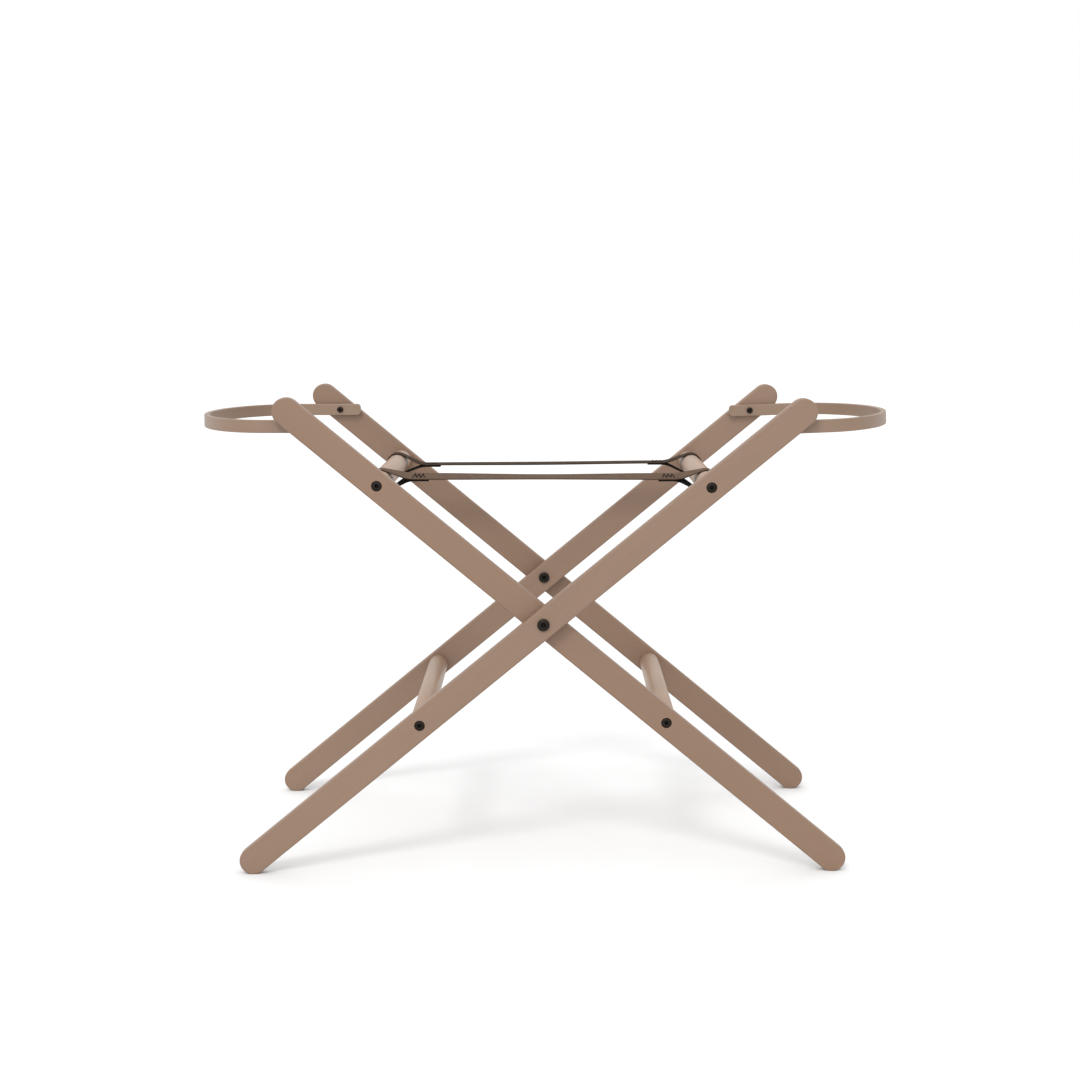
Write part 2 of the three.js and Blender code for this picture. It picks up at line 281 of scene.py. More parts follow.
class Nodes:
    """Short names for building one material's node tree."""

    def __init__(self, name):
        self.material = bpy.data.materials.new(name)
        self.material.use_nodes = True
        self.tree = self.material.node_tree
        self.shader = self.tree.nodes["Principled BSDF"]

    def add(self, kind, **settings):
        node = self.tree.nodes.new(kind)
        for key, value in settings.items():
            if hasattr(node, key):
                setattr(node, key, value)
            else:
                node.inputs[key.replace("_", " ")].default_value = value
        return node

    def join(self, source, target):
        self.tree.links.new(source, target)

    def math(self, operation, first, second=0.0):
        node = self.add("ShaderNodeMath", operation=operation)
        for index, value in enumerate((first, second)):
            if isinstance(value, (int, float)):
                node.inputs[index].default_value = value
            else:
                self.join(value, node.inputs[index])
        return node.outputs[0]

    def dot(self, vector, direction):
        node = self.add("ShaderNodeVectorMath", operation="DOT_PRODUCT")
        self.join(vector, node.inputs[0])
        node.inputs[1].default_value = tuple(direction)
        return node.outputs["Value"]

    def vector(self, x, y, z):
        node = self.add("ShaderNodeCombineXYZ")
        for index, value in enumerate((x, y, z)):
            if isinstance(value, (int, float)):
                node.inputs[index].default_value = value
            else:
                self.join(value, node.inputs[index])
        return node.outputs[0]

    def noise(self, vector, scale, detail=3.0, roughness=0.55):
        node = self.add("ShaderNodeTexNoise", Scale=scale, Detail=detail, Roughness=roughness)
        self.join(vector, node.inputs["Vector"])
        return node.outputs["Fac"]

    def ramp(self, factor, *stops):
        node = self.add("ShaderNodeValToRGB")
        elements = node.color_ramp.elements
        while len(elements) < len(stops):
            elements.new(0.5)
        for element, (position, colour) in zip(elements, stops):
            element.position = position
            element.color = (*colour, 1)
        self.join(factor, node.inputs["Fac"])
        return node.outputs["Color"]

    def range(self, value, low, high, to_low, to_high):
        node = self.add("ShaderNodeMapRange")
        self.join(value, node.inputs["Value"])
        for key, number in zip(("From Min", "From Max", "To Min", "To Max"),
                               (low, high, to_low, to_high)):
            node.inputs[key].default_value = number
        return node.outputs["Result"]

    def bump(self, height, strength, distance, base=None):
        node = self.add("ShaderNodeBump")
        node.inputs["Strength"].default_value = strength
        node.inputs["Distance"].default_value = distance
        self.join(height, node.inputs["Height"])
        if base:
            self.join(base, node.inputs["Normal"])
        return node.outputs["Normal"]


def linear(red, green, blue):
    """A colour given as 0 to 255 display values, made linear."""
    def channel(value):
        value /= 255
        return value / 12.92 if value <= 0.04045 else ((value + 0.055) / 1.055) ** 2.4
    return tuple(channel(value) for value in (red, green, blue))


def shade(colour, amount):
    return tuple(min(1.0, value * amount) for value in colour)


def painted_wood(name, colour, grain, across, uv=False):
    """Satin paint over wood, whose filled grain still shows as faint long lines."""
    nodes = Nodes(name)
    if uv:
        place = nodes.add("ShaderNodeUVMap", uv_map="grain").outputs["UV"]
        along, side, depth = (nodes.dot(place, axis) for axis in ((1, 0, 0), (0, 1, 0), (0, 0, 1)))
    else:
        place = nodes.add("ShaderNodeTexCoord").outputs["Object"]
        third = grain.cross(across)
        along, side, depth = (nodes.dot(place, axis) for axis in (grain, across, third))

    def grain_noise(stretch, scale, *detail):
        """Noise drawn out along the grain: the smaller the stretch value, the longer the marks."""
        drawn_out = nodes.vector(nodes.math("MULTIPLY", along, stretch), side, depth)
        return nodes.noise(drawn_out, scale, *detail)

    streaks = grain_noise(0.035, 420.0, 5.0, 0.6)
    pores = grain_noise(0.09, 1500.0, 2.0)
    patches = grain_noise(0.3, 14.0, 2.0)
    spray = grain_noise(1.0, 1900.0, 2.0)

    tone = nodes.math("ADD", nodes.math("MULTIPLY", streaks, 0.45),
                      nodes.math("MULTIPLY", patches, 0.55))
    paint = nodes.ramp(tone, (0.3, shade(colour, 0.93)), (0.5, colour), (0.7, shade(colour, 1.06)))
    pore_mask = nodes.range(pores, 0.30, 0.42, 1.0, 0.0)
    mix = nodes.add("ShaderNodeMix", data_type="RGBA")
    nodes.join(nodes.math("MULTIPLY", pore_mask, 0.16), mix.inputs["Factor"])
    nodes.join(paint, mix.inputs["A"])
    mix.inputs["B"].default_value = (*shade(colour, 0.55), 1)
    nodes.join(mix.outputs["Result"], nodes.shader.inputs["Base Color"])
    nodes.join(nodes.range(streaks, 0.3, 0.7, 0.38, 0.48), nodes.shader.inputs["Roughness"])
    grain_height = nodes.math("SUBTRACT", nodes.math("MULTIPLY", streaks, 0.7),
                              nodes.math("MULTIPLY", pore_mask, 0.25))
    bump = nodes.bump(grain_height, 0.22, 0.12 * MM)
    bump = nodes.bump(spray, 0.12, 0.05 * MM, bump)
    nodes.join(bump, nodes.shader.inputs["Normal"])
    nodes.shader.inputs["Specular IOR Level"].default_value = 0.5
    return nodes.material


def metal(name, colour, roughness, metallic, scale=900.0):
    """Machined metal with a fine uneven surface."""
    nodes = Nodes(name)
    place = nodes.add("ShaderNodeTexCoord").outputs["Object"]
    fine = nodes.noise(place, scale, 3.0)
    broad = nodes.noise(place, 160.0, 2.0)
    tint = nodes.ramp(broad, (0.3, shade(colour, 0.8)), (0.7, shade(colour, 1.25)))
    nodes.join(tint, nodes.shader.inputs["Base Color"])
    nodes.join(nodes.range(fine, 0.3, 0.7, roughness - 0.07, roughness + 0.07),
               nodes.shader.inputs["Roughness"])
    nodes.join(nodes.bump(fine, 0.15, 0.04 * MM), nodes.shader.inputs["Normal"])
    nodes.shader.inputs["Metallic"].default_value = metallic
    nodes.shader.inputs["Specular IOR Level"].default_value = 0.2
    return nodes.material


def nylon(name, colour):
    """Moulded nylon with a fine spark texture."""
    nodes = Nodes(name)
    place = nodes.add("ShaderNodeTexCoord").outputs["Object"]
    spark = nodes.noise(place, 2500.0, 2.0)
    nodes.join(nodes.ramp(spark, (0.3, shade(colour, 0.85)), (0.7, shade(colour, 1.1))),
               nodes.shader.inputs["Base Color"])
    nodes.join(nodes.bump(spark, 0.2, 0.05 * MM), nodes.shader.inputs["Normal"])
    nodes.shader.inputs["Roughness"].default_value = 0.6
    return nodes.material


def webbing(name, top, back):
    """Flat woven webbing: ribs across it, a brown face darker toward its long edges, a black back, with painted
    shade between the yarns and on the return ply's edges.
    """
    nodes = Nodes(name)
    place = nodes.add("ShaderNodeUVMap", uv_map="weave").outputs["UV"]
    along = nodes.dot(place, (1, 0, 0))
    across = nodes.dot(place, (0, 1, 0))
    warp_pitch = 1.15 * MM
    weft_pitch = 1.35 * MM
    warp_turns = nodes.math("MULTIPLY", across, 2 * math.pi / warp_pitch)
    weft_turns = nodes.math("MULTIPLY", along, 2 * math.pi / weft_pitch)
    warp = nodes.math("SINE", warp_turns)
    weft = nodes.math("SINE", nodes.math("ADD", weft_turns, nodes.math("MULTIPLY", warp, 1.3)))
    yarn = nodes.math("MULTIPLY", nodes.math("ABSOLUTE", warp), nodes.math("ABSOLUTE", weft))
    fibres = nodes.noise(nodes.vector(nodes.math("MULTIPLY", along, 0.2), across, 0.0), 5200.0, 2.0)
    fading = nodes.noise(nodes.vector(along, across, 0.0), 60.0, 2.0)

    # Painted shade: the yarn pattern makes the yarn crowns lighter and the gaps between yarns darker in both the
    # face and back colours. The broad fading noise is the webbing's own uneven tone.
    lit = nodes.math("ADD", nodes.math("MULTIPLY", yarn, 0.7), nodes.math("MULTIPLY", fading, 0.35))
    # The face colour is darker toward both long edges.
    edge_darkening = nodes.range(nodes.math("ABSOLUTE", across), 11.2 * MM, 12.2 * MM, 0.0, 0.4)
    lit = nodes.math("SUBTRACT", lit, edge_darkening)
    face = nodes.ramp(lit, (0.05, shade(top, 0.55)), (0.45, top), (0.95, shade(top, 1.2)))
    reverse = nodes.ramp(lit, (0.05, shade(back, 0.6)), (0.9, shade(back, 1.5)))
    # The attribute picks the back's black or the face's brown. It also paints the edges of the return ply and loop
    # black, as painted shade.
    side_with_edge_shade = nodes.add("ShaderNodeAttribute", attribute_name="face_side_and_edge_shade").outputs["Fac"]
    mix = nodes.add("ShaderNodeMix", data_type="RGBA")
    nodes.join(side_with_edge_shade, mix.inputs["Factor"])
    nodes.join(reverse, mix.inputs["A"])
    nodes.join(face, mix.inputs["B"])
    nodes.join(mix.outputs["Result"], nodes.shader.inputs["Base Color"])
    height = nodes.math("ADD", yarn, nodes.math("MULTIPLY", fibres, 0.35))
    nodes.join(nodes.bump(height, 0.8, 0.22 * MM), nodes.shader.inputs["Normal"])
    nodes.shader.inputs["Roughness"].default_value = 0.9
    nodes.shader.inputs["Specular IOR Level"].default_value = 0.1
    return nodes.material


def thread(name, colour):
    """Twisted sewing thread."""
    nodes = Nodes(name)
    place = nodes.add("ShaderNodeTexCoord").outputs["Object"]
    twist = nodes.add("ShaderNodeTexWave", Scale=1400.0, Distortion=1.5)
    nodes.join(place, twist.inputs["Vector"])
    nodes.join(nodes.ramp(twist.outputs["Fac"], (0.2, shade(colour, 0.6)), (0.8, colour)),
               nodes.shader.inputs["Base Color"])
    nodes.join(nodes.bump(twist.outputs["Fac"], 0.6, 0.1 * MM), nodes.shader.inputs["Normal"])
    nodes.shader.inputs["Roughness"].default_value = 0.8
    nodes.shader.inputs["Specular IOR Level"].default_value = 0.1
    return nodes.material


LEG_PAINT = {
    "a": painted_wood("paint_frame_a", linear(127, 102, 84), ALONG, ACROSS),
    "b": painted_wood("paint_frame_b", linear(124, 98, 79), Vector((-ALONG.x, 0, ALONG.z)),
                      Vector((ALONG.z, 0, ALONG.x))),
}
# The crossbars take a lighter copy of the board paint. This is painted highlight for the overhead light and the
# glossy sheen that they catch, being seen nearly end-on.
BAR_PAINT_PAINTED_LIGHT = painted_wood("paint_crossbars_painted_light", linear(147, 121, 101), Vector((0, 1, 0)),
                         Vector((1, 0, 0)))
HOOP_PAINT = painted_wood("paint_hoops", linear(127, 104, 86), None, None, uv=True)
BLACK_STEEL = metal("black_steel", (0.011, 0.008, 0.006), 0.3, 0.3)
ZINC = metal("zinc_plate", (0.62, 0.63, 0.64), 0.35, 1.0)
NYLON = nylon("black_nylon", (0.022, 0.021, 0.02))
# The rear strap is the same webbing as the front. Its darker face and back colours are painted shade for the rear
# strap, which is seen more edge-on and in shade.
WEBBING = {
    "front": webbing("webbing_front", linear(98, 80, 66), linear(22, 19, 17)),
    "rear": webbing("webbing_rear", linear(66, 53, 42), linear(20, 17, 15)),
}
THREAD = thread("black_thread", linear(20, 15, 12))

# ---------------------------------------------------------------------------------------------
# Legs
# ---------------------------------------------------------------------------------------------


def leg_lengths():
    """Half the board's width, and the pivot's distances to the upper and lower round centres."""
    low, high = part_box("leg_a_outer")
    rise = high.z - PIVOT.z
    upper = (high.x - rise) / (ALONG.x - ALONG.z)
    half_width = high.x - upper * ALONG.x
    lower = (-low.x - half_width) / ALONG.x
    return half_width, upper, lower


HALF_WIDTH, UPPER_REACH, LOWER_REACH = leg_lengths()
BOARD_PLACE = Matrix((
    (ALONG.x, 0, ACROSS.x, PIVOT.x),
    (0, 1, 0, 0),
    (ALONG.z, 0, ACROSS.z, PIVOT.z),
    (0, 0, 0, 1),
))


def board_mesh(name, thickness):
    """A board with round ends: pivot at the origin, top toward +X, eased along every edge."""
    end_steps = 40
    outline = []
    for step in range(end_steps + 1):
        turn = -math.pi / 2 + math.pi * step / end_steps
        outline.append((UPPER_REACH + HALF_WIDTH * math.cos(turn), HALF_WIDTH * math.sin(turn)))
    for step in range(end_steps + 1):
        turn = math.pi / 2 + math.pi * step / end_steps
        outline.append((-LOWER_REACH + HALF_WIDTH * math.cos(turn), HALF_WIDTH * math.sin(turn)))
    ease_steps = 5
    rings = []
    for side in (-1, 1):
        levels = range(ease_steps + 1) if side < 0 else range(ease_steps, -1, -1)
        for level in levels:
            turn = math.pi / 2 * level / ease_steps
            inset = LEG_EASE * (1 - math.sin(turn))
            y = side * (thickness / 2 - LEG_EASE * (1 - math.cos(turn)))
            rings.append([inset_point(x, y, z, inset) for x, z in outline])
    return loft(name, rings)


def inset_point(x, y, z, inset):
    """A point of the board's outline moved inward, away from the round end or straight edge."""
    core = max(-LOWER_REACH, min(UPPER_REACH, x))
    offset = Vector((x - core, 0, z))
    inward = offset.normalized() * (offset.length - inset)
    return Vector((core + inward.x, y, inward.z))


def bore(radius, from_y, to_y, seat_radius=None, seat_y=None):
    """A cutter along Y: a hole, with an optional wider seat from seat_y to to_y."""
    if seat_radius is None:
        return turned("bore", [(radius, from_y), (radius, to_y)])
    return turned("bore", [(radius, from_y), (radius, seat_y), (seat_radius, seat_y),
                           (seat_radius, to_y)])


def floor_cutter():
    """A square block whose top lies on the floor, for a board that still lies along X."""
    radius = FLOOR_CUTTER["radius"]
    half_width = FLOOR_CUTTER["half_width"]
    block = turned("floor", [(radius, -half_width), (radius, half_width)], 4)
    block = moved(block, Matrix.Rotation(math.pi / 4, 4, "Y"))
    half_height = radius * math.cos(math.pi / 4)
    foot_height = PIVOT.z - LOWER_REACH * ALONG.z
    slope = Matrix.Rotation(math.atan2(ALONG.z, ALONG.x), 4, "Y")
    foot = Matrix.Translation((-LOWER_REACH, 0, 0)) @ slope
    return moved(block, foot @ Matrix.Translation((0, 0, -half_height - foot_height)))


def make_leg(letter, place):
    node = f"leg_{letter}_{place}"
    thickness = size(node).y
    side = -1 if place == "outer" else 1
    face = side * thickness / 2
    past = side * thickness
    piece = add_object(f"board_{letter}_{place}", board_mesh(node, thickness))

    cutters = []
    for bar in ("upper", "lower"):
        reach = (centre(f"crossbar_a_{bar}") - PIVOT).dot(ALONG)
        head = size(f"crossbar_bolt_a_{bar}_outer").x / 2
        seat_y = face - side * BOLT_SEAT["depth"]
        cutter = bore(BOLT_HOLE, -past, past, head + BOLT_SEAT["gap"], seat_y)
        cutters.append(moved(cutter, Matrix.Translation((reach, 0, 0))))
    cutters.append(bore(PIVOT_HOLE[place], -past, past))
    pilot = bore(HOOP_PILOT["radius"], -past, face - side * HOOP_PILOT["cover"])
    hoop_reach = (HOOP_AXIS - PIVOT).length
    cutters.append(moved(pilot, Matrix.Translation((hoop_reach, 0, 0))))
    cutters.append(floor_cutter())
    cut_holes(piece, cutters)

    middle = centre(node).y if letter == "a" else -centre(node).y
    moved(piece.data, placed(letter, Matrix.Translation((0, middle, 0)) @ BOARD_PLACE))
    finish_piece(piece, f"frame_{letter}", "painted_leg", LEG_PAINT[letter], node)


# ---------------------------------------------------------------------------------------------
# Crossbars
# ---------------------------------------------------------------------------------------------


def make_crossbar(letter, bar):
    node = f"crossbar_{letter}_{bar}"
    low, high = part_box(node)
    middle = (low + high) / 2
    radius = (high.z - low.z) / 2
    half = (high.y - low.y) / 2
    ease = CROSSBAR_EASE
    ease_middle = 0.3 * ease
    bore_radius = CROSSBAR_BORE["radius"]
    bore_depth = CROSSBAR_BORE["depth"]
    profile = [
        (bore_radius, -half + bore_depth),
        (bore_radius, -half),
        (radius - ease, -half),
        (radius - ease_middle, -half + ease_middle),
        (radius, -half + ease),
        (radius, half - ease),
        (radius - ease_middle, half - ease_middle),
        (radius - ease, half),
        (bore_radius, half),
        (bore_radius, half - bore_depth),
    ]
    mesh = turned(node, profile, CROSSBAR_STEPS)
    moved(mesh, Matrix.Translation(middle))
    smooth(mesh)
    piece = add_object(f"dowel_{letter}_{bar}", mesh)
    finish_piece(piece, f"frame_{letter}", "painted_crossbar", BAR_PAINT_PAINTED_LIGHT, node)


# ---------------------------------------------------------------------------------------------
# Screws, nuts and washers
# ---------------------------------------------------------------------------------------------


def screw_mesh(name, radius, height, shank, length, socket, crown):
    """A screw along Y with the top of its head at 0: crowned head, hexagon socket, shank."""
    segments = 48
    depth = 0.65 * height
    drill_point = 0.25 * socket
    mouth_depth = 0.12 * height
    rings = [
        hexagon_of(socket * 0.35, depth + drill_point, segments),
        hexagon_of(socket, depth, segments),
        hexagon_of(socket, mouth_depth, segments),
        hexagon_of(socket * 1.1, 0, segments),
    ]
    dome_steps = 6
    crown_spread = 2.4
    socket_rim = 0.72
    inner = max(socket * socket_rim, radius - crown_spread * crown)
    rings.append(ring_of(inner, 0, segments))
    for step in range(1, dome_steps + 1):
        turn = math.pi / 2 * step / dome_steps
        rings.append(ring_of(inner + (radius - inner) * math.sin(turn),
                             crown * (1 - math.cos(turn)), segments))
    tip = 0.2 * shank  # length and depth of the bevel on the shank's end
    under_ease = 0.15 * MM
    rings += [
        ring_of(radius, height - under_ease, segments),
        ring_of(radius - under_ease, height, segments),
        ring_of(shank, height, segments),
        ring_of(shank, length - tip, segments),
        ring_of(shank - tip, length, segments),
    ]
    mesh = loft(name, rings)
    smooth(mesh)
    return mesh


def make_screw(node, letter, toward, kind, new_name):
    """Replaces a screw or bolt node. toward is 1 where its tip points to +Y, else -1."""
    low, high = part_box(node)
    middle = (low + high) / 2
    radius = (high.z - low.z) / 2
    mesh = screw_mesh(node, radius, kind["head_height"], kind["shank"], high.y - low.y,
                      kind["socket"], kind["crown"])
    spin = Matrix.Rotation(random.uniform(0, math.pi / 3), 4, "Y")
    turn = Matrix.Identity(4) if toward > 0 else Matrix.Rotation(math.pi, 4, "Z")
    start = Vector((middle.x, low.y if toward > 0 else high.y, middle.z))
    moved(mesh, Matrix.Translation(start) @ turn @ spin)
    piece = add_object(new_name, mesh)
    finish_piece(piece, f"frame_{letter}", "black_steel", BLACK_STEEL, node)


def make_fasteners(letter):
    facing = 1 if letter == "a" else -1
    for place, toward in (("outer", facing), ("inner", -facing)):
        for bar in ("upper", "lower"):
            label = f"{letter}_{bar}_{place}"
            make_screw(f"crossbar_bolt_{label}", letter, toward, BOLT, f"socket_bolt_{label}")
        label = f"{letter}_{place}"
        make_screw(f"hoop_screw_{label}", letter, -toward, HOOP_SCREW, f"arm_screw_{label}")
    make_screw(f"pivot_bolt_{letter}", letter, facing, PIVOT_BOLT, f"pivot_socket_bolt_{letter}")
    make_screw(f"pivot_nut_{letter}", letter, facing, SLEEVE_NUT, f"pivot_sleeve_nut_{letter}")


def dress_hidden_nodes():
    """Washers and inserts keep their shape and get a material."""
    for name, node in frame["nodes"].items():
        for word, material in (("insert", ZINC), ("washer", NYLON)):
            if word in name:
                node.data.materials.clear()
                node.data.materials.append(material)


# ---------------------------------------------------------------------------------------------
# Hoops
# ---------------------------------------------------------------------------------------------


LEVEL_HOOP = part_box("hoop_b")
HOOP_REACH = -LEVEL_HOOP[0].x - HOOP_AXIS.x
HOOP_REAR_TAIL = LEVEL_HOOP[1].x + HOOP_AXIS.x
HOOP_HALF_WIDTH = (size("hoop_b").y - HOOP_THICKNESS) / 2
HOOP_HALF_HEIGHT = size("hoop_b").z / 2


def arm_points(side, tail):
    """One arm from its rounded end to the bend, as (x, y, normal x, normal y) points."""
    y = side * HOOP_HALF_WIDTH
    corner_steps = 8
    points = []
    for step in range(corner_steps + 1):
        share = 1 - math.cos(math.pi / 2 * step / corner_steps)
        points.append((-tail + HOOP_CORNER * share, y, 0, side))
    arm_from = HOOP_CORNER - tail
    arm_steps = 8
    for step in range(1, arm_steps + 1):
        points.append((arm_from + (HOOP_ARM - arm_from) * step / arm_steps, y, 0, side))
    return points


def hoop_stations(front_side):
    """A hoop seen from above, as (x, y, normal x, normal y, distance along) stations.

    X = 0 is the screws' axis and Y = 0 lies midway between the arms. front_side is the side
    of the front arm, whose end is the short one.
    """
    tails = {front_side: HOOP_FRONT_TAIL, -front_side: HOOP_REAR_TAIL}
    bend_length = HOOP_REACH - HOOP_THICKNESS / 2 - HOOP_ARM
    bend_steps = 96
    points = arm_points(-1, tails[-1])
    for step in range(1, bend_steps):
        turn = -math.pi / 2 + math.pi * step / bend_steps
        x = bend_length * math.cos(turn)
        y = HOOP_HALF_WIDTH * math.sin(turn)
        normal = Vector((x / bend_length ** 2, y / HOOP_HALF_WIDTH ** 2)).normalized()
        points.append((HOOP_ARM + x, y, normal.x, normal.y))
    points += reversed(arm_points(1, tails[1]))
    stations = []
    distance = 0
    before = points[0]
    for point in points:
        distance += math.hypot(point[0] - before[0], point[1] - before[1])
        stations.append((*point, distance))
        before = point
    return stations


def band_section(half_height, half_thickness, ease):
    """Corners of an eased band section as (across, up), starting at the outside face."""
    steps = 4
    section = []
    for across, up, start in ((1, 1, 0), (-1, 1, 1), (-1, -1, 2), (1, -1, 3)):
        for step in range(steps + 1):
            turn = math.pi / 2 * (start + step / steps)
            section.append((across * (half_thickness - ease) + ease * math.cos(turn),
                            up * (half_height - ease) + ease * math.sin(turn)))
    return section


def make_hoop(letter, body, front_side, lift):
    node = f"hoop_{letter}"
    stations = hoop_stations(front_side)
    total = stations[-1][4]
    vertices = []
    texture = []
    count = 0
    for x, y, normal_x, normal_y, distance in stations:
        from_end = min(distance, total - distance)
        drop = 0
        if from_end < HOOP_CORNER:
            drop = HOOP_CORNER - math.sqrt(HOOP_CORNER ** 2 - (HOOP_CORNER - from_end) ** 2)
        end_ease = HOOP_EASE / 2 * max(0, 1 - 2 * from_end / HOOP_EASE)
        section = band_section(HOOP_HALF_HEIGHT - drop, HOOP_THICKNESS / 2 - end_ease, HOOP_EASE)
        count = len(section)
        for across, up in section:
            vertices.append((x + normal_x * across, y + normal_y * across, up))
            texture.append((distance, up + across))
    mesh = tube(node, vertices, count)
    add_uv(mesh, "grain", texture)
    piece = add_object(f"bent_hoop_{letter}", mesh)
    past = 2 * HOOP_HALF_WIDTH
    cut_holes(piece, [turned("hole", [(HOOP_HOLE, -past), (HOOP_HOLE, past)], 32)])
    at_screws = Matrix.Translation((HOOP_AXIS.x, -centre("hoop_b").y, HOOP_AXIS.z))
    moved(piece.data, placed(letter, at_screws @ Matrix.Rotation(-lift, 4, "Y")))
    finish_piece(piece, body, "painted_hoop", HOOP_PAINT, node)


# ---------------------------------------------------------------------------------------------
# Webbing straps
# ---------------------------------------------------------------------------------------------


def touching(corner, radius, side):
    """The turn at which a line from the corner touches a circle about the origin."""
    return math.atan2(corner.y, corner.x) + side * math.acos(radius / corner.length)


def on_circle(radius, turn):
    return Vector((radius * math.cos(turn), radius * math.sin(turn)))


def bend(before, corner, after):
    """Points on the soft bend that replaces a corner between two straight runs."""
    into = (before - corner).normalized() * STRAP_BEND
    out = (after - corner).normalized() * STRAP_BEND
    steps = 12
    shares = [step / steps for step in range(steps + 1)]
    return [corner + into * (1 - share) ** 2 + out * share ** 2 for share in shares]


def half_strap_path(rise, middle_rise, bar_x, bar_radius):
    """The left half of a strap's middle line, from its sewn end round the crossbar to mid-span.

    Points are (x, z) from the middle of the stand and the crossbars' axes. The strap lies at
    the first rise where its plies meet and at the second in mid-span.
    """
    radius = bar_radius + STRAP_GAP + STRAP_PLY / 2
    upper = Vector((STRAP_LOOP, rise))
    lower = Vector((STRAP_LOOP, rise - STRAP_PLY - STRAP_GAP / 2))
    sewn_end = lower + Vector((STRAP_SEAM, 0))
    middle = Vector((bar_x, middle_rise))
    from_turn = touching(lower, radius, -1)
    to_turn = touching(upper, radius, 1) - 2 * math.pi
    points = [sewn_end] + bend(sewn_end, lower, on_circle(radius, from_turn))
    loop_steps = 60
    for step in range(loop_steps + 1):
        points.append(on_circle(radius, from_turn + (to_turn - from_turn) * step / loop_steps))
    points += bend(points[-1], upper, middle)
    span_steps = 30
    span = middle - points[-1]
    start = points[-1]
    for step in range(1, span_steps + 1):
        share = step / span_steps
        sag = STRAP_SAG * math.sin(math.pi / 2 * share) ** 2
        points.append(start + span * share - Vector((0, sag)))
    return [point - Vector((bar_x, 0)) for point in points]


def evened(points, spacing):
    """Points at an even spacing along straight runs between the given points."""
    even = [points[0]]
    travelled = 0
    for first, second in zip(points, points[1:]):
        step = (second - first).length
        while travelled + step >= spacing:
            first = first.lerp(second, (spacing - travelled) / step)
            even.append(first)
            step = (second - first).length
            travelled = 0
        travelled += step
    return even + [points[-1]]


def soft_step(value):
    value = max(0, min(1, value))
    return value * value * (3 - 2 * value)


def strap_section(width):
    """Points round a webbing section as (across, up, part), with soft edges."""
    steps = 14
    half = width / 2
    thick = STRAP_PLY / 2
    top = []
    for step in range(steps + 1):
        share = -1 + 2 * step / steps
        edge = max(0, abs(share) - 0.9) / 0.1
        part = "edge" if edge > 0.5 else "face"
        top.append((half * share, thick * (1 - 0.25 * edge ** 2), part))
    back = [(across, -up, "back") for across, up, _ in reversed(top)]
    return top + [(half, 0, "edge")] + back + [(-half, 0, "edge")]


def strap_lean(x, bar_x, roll):
    """How far a strap is rolled about its length at x, its near edge down."""
    from_bar = bar_x - abs(x)
    span = bar_x - STRAP_LOOP - STRAP_SEAM
    onto_span = soft_step(from_bar / STRAP_LOOP)
    to_middle = soft_step((from_bar - STRAP_LOOP - STRAP_SEAM) / span)
    return onto_span * (roll["seam"] + (roll["middle"] - roll["seam"]) * to_middle)


def rolled(across, up, lean):
    """A section point as (y, height) after the strap has been rolled."""
    y = across * math.cos(lean) - up * math.sin(lean)
    return y, across * math.sin(lean) + up * math.cos(lean)


def make_stitches(name, body, side, rise, place, roll):
    """A zigzag of black thread that sews the two plies together at one end of a strap."""
    bar_x, middle_y, bar_z = place
    inset = STITCH["from_bar"]
    corners = []
    for row in range(STITCH["rows"] + 1):
        x = inset + STITCH["length"] * row / STITCH["rows"]
        across = STITCH["half_width"] * (1 if row % 2 else -1)
        corners.append(Vector((x, across * random.uniform(0.85, 1))))
    path = evened(corners, STITCH["step"])
    rings = []
    ring_steps = 8
    for index, point in enumerate(path):
        ahead = path[min(len(path) - 1, index + 1)] - path[max(0, index - 1)]
        sideways = Vector((-ahead.y, ahead.x)).normalized()
        lean = strap_lean(bar_x - point.x, bar_x, roll)
        ring = []
        for step in range(ring_steps):
            turn = 2 * math.pi * step / ring_steps
            flat = point + sideways * STITCH["radius"] * math.cos(turn)
            up = STRAP_PLY / 2 + STITCH["radius"] * (0.3 + math.sin(turn))
            y, height = rolled(flat.y, up, lean)
            ring.append((side * (bar_x - flat.x), middle_y + y, bar_z + rise + height))
        rings.append(ring)
    mesh = loft(name, rings)
    smooth(mesh, 80)
    finish_piece(add_object(name, mesh), body, "webbing", THREAD)


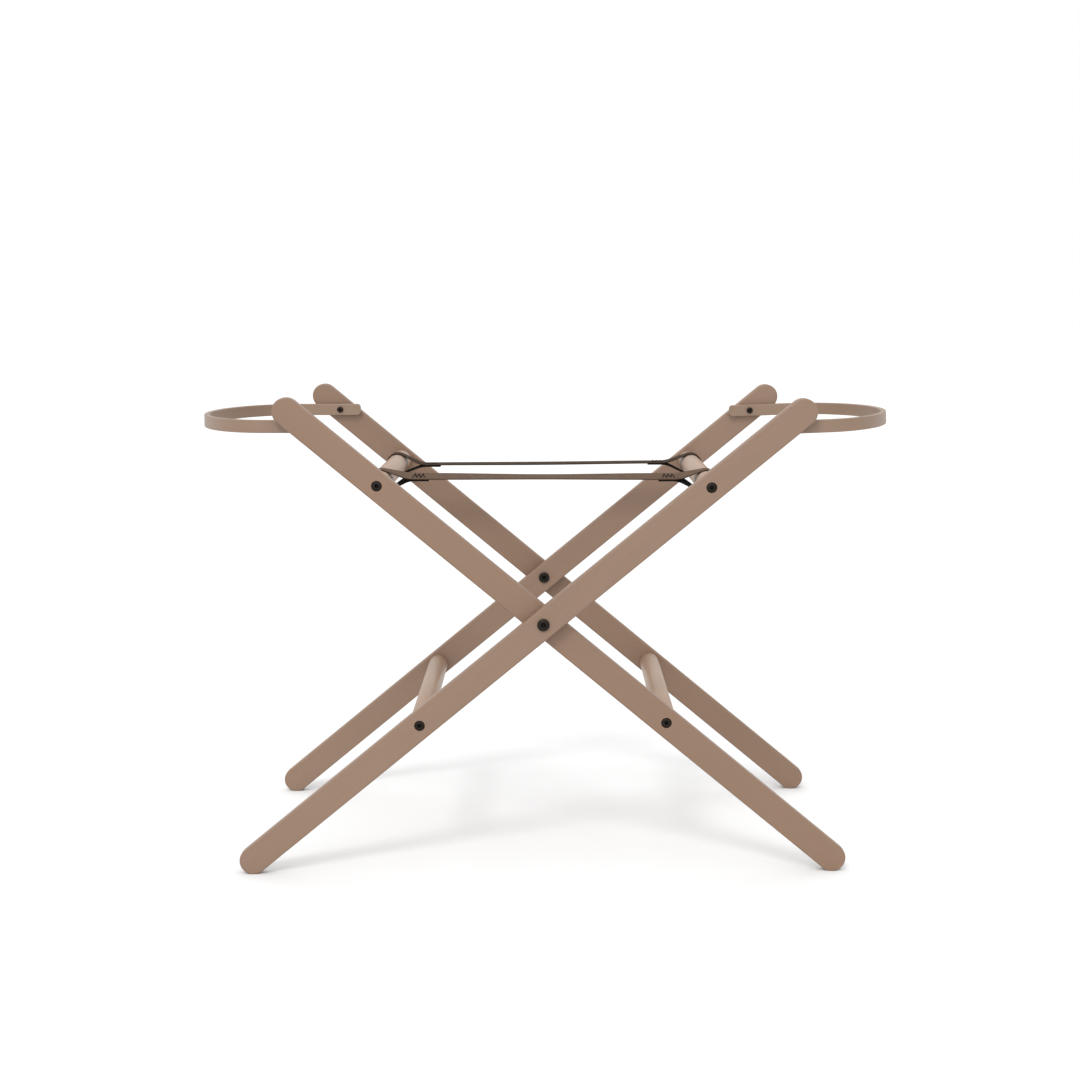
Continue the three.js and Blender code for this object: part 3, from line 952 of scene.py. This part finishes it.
def make_strap(label):
    node = f"strap_{label}"
    roll = STRAP_ROLL[label]
    bar = centre("crossbar_b_upper")
    bar_x = -bar.x
    middle_y = centre(node).y
    mount = next(mount for mount in frame["record"]["mounts"]
                 if mount["name"] == f"basket_rest_{label}")
    rise = mount["pos_m"][2] - STRAP_PLY / 2 - bar.z
    right_rise = rise + STRAP_TILT[label]
    middle_rise = (rise + right_rise) / 2
    bar_radius = size("crossbar_b_upper").z / 2
    left_half = half_strap_path(rise, middle_rise, bar_x, bar_radius)
    right_half = half_strap_path(right_rise, middle_rise, bar_x, bar_radius)
    right_half = [Vector((-point.x, point.y)) for point in reversed(right_half[:-1])]
    path = evened(left_half + right_half, STRAP_STEP)
    section = strap_section(size(node).y)
    runs = [(second - first).length for first, second in zip(path, path[1:])]
    total = sum(runs)
    vertices = []
    texture = []
    side_tones_with_edge_shade = []
    distance = 0
    for index, point in enumerate(path):
        direction = path[min(len(path) - 1, index + 1)] - path[max(0, index - 1)]
        normal = Vector((-direction.y, direction.x)).normalized()
        lean = strap_lean(point.x, bar_x, roll)
        lean = lean if normal.y > 0 else -lean
        from_end = min(distance, total - distance)
        swell = 1 + 0.3 * max(0, 1 - from_end / STRAP_PLY)
        # Painted shade: along the return ply and round the crossbar the edges take the back's black, and turn
        # brown only out on the span.
        edge_painted_shade = soft_step((from_end - STRAP_SEAM - STRAP_LOOP) / STRAP_LOOP)
        tones = {"face": 1, "edge": edge_painted_shade, "back": 0}
        for across, up, part in section:
            y, out = rolled(across, up * swell, lean)
            vertices.append((point.x + normal.x * out, middle_y + y,
                             bar.z + point.y + normal.y * out))
            texture.append((distance, across))
            side_tones_with_edge_shade.append(tones[part])
        if index < len(runs):
            distance += runs[index]
    mesh = tube(node, vertices, len(section))
    add_uv(mesh, "weave", texture)
    attribute = mesh.attributes.new("face_side_and_edge_shade", "FLOAT", "POINT")
    for index, side in enumerate(side_tones_with_edge_shade):
        attribute.data[index].value = side
    smooth(mesh, 60)
    piece = add_object(f"webbing_{label}", mesh)
    finish_piece(piece, None, "webbing", WEBBING[label], node)
    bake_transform(piece)
    place = (bar_x, middle_y, bar.z)
    make_stitches(f"stitches_{label}_left", "frame_b", -1, rise, place, roll)
    make_stitches(f"stitches_{label}_right", "frame_a", 1, right_rise, place, roll)


# ---------------------------------------------------------------------------------------------
# Stage, light and camera
# ---------------------------------------------------------------------------------------------


def make_stage():
    nodes = Nodes("floor")
    place = nodes.add("ShaderNodeTexCoord").outputs["Object"]
    cloud = nodes.noise(place, 3.0, 2.0)
    tint = nodes.ramp(cloud, (0.3, (0.71, 0.71, 0.71)), (0.7, (0.72, 0.72, 0.72)))
    nodes.join(tint, nodes.shader.inputs["Base Color"])
    nodes.shader.inputs["Roughness"].default_value = 0.9
    nodes.shader.inputs["Specular IOR Level"].default_value = 0.1
    half = 30
    corners = [(-half, -half, 0), (half, -half, 0), (half, half, 0), (-half, half, 0)]
    floor = add_object("floor", mesh_from("floor", corners, [[0, 1, 2, 3]]))
    floor.data.materials.append(nodes.material)


def soft_sun(name, toward, spread, strength):
    """A distant lamp that shines along a direction, so that the whole floor is lit alike."""
    light = bpy.data.lights.new(name, "SUN")
    light.angle = math.radians(spread)
    light.energy = strength
    lamp = bpy.data.objects.new(name, light)
    scene.collection.objects.link(lamp)
    lamp.rotation_euler = Vector(toward).to_track_quat("-Z", "Y").to_euler()


def make_lights():
    world = bpy.data.worlds.new("studio")
    scene.world = world
    world.use_nodes = True
    sky = world.node_tree.nodes["Background"]
    sky.inputs["Color"].default_value = (1, 1, 1, 1)
    sky.inputs["Strength"].default_value = 1.0
    soft_sun("key", (0.3, 1.0, -1.1), 14, 0.95)
    soft_sun("overhead", (0, 0, -1), 100, 0.9)
    soft_sun("front_fill", (0.25, 1.0, -0.3), 60, 0.8)
    scene.view_settings.view_transform = "Standard"
    scene.view_settings.look = "None"


def make_camera():
    """From the front, a little above the hoops and looking slightly down."""
    lens = bpy.data.cameras.new("camera")
    lens.lens = CAMERA["lens"]
    lens.sensor_width = CAMERA["sensor"]
    camera = bpy.data.objects.new("camera", lens)
    scene.collection.objects.link(camera)
    camera.location = CAMERA["place"]
    camera.rotation_euler = (math.pi / 2 - CAMERA["down"], 0, CAMERA["left"])
    scene.camera = camera


# ---------------------------------------------------------------------------------------------
# Build
# ---------------------------------------------------------------------------------------------

random.seed(7)
make_camera()
make_stage()
make_lights()
for frame_letter in LETTERS:
    for leg_place in ("outer", "inner"):
        make_leg(frame_letter, leg_place)
    for bar_place in ("upper", "lower"):
        make_crossbar(frame_letter, bar_place)
    make_fasteners(frame_letter)
make_hoop("a", "hoop_right", -1, RIGHT_HOOP_LIFT)
make_hoop("b", "hoop_left", 1, 0)
dress_hidden_nodes()
make_strap("front")
make_strap("rear")
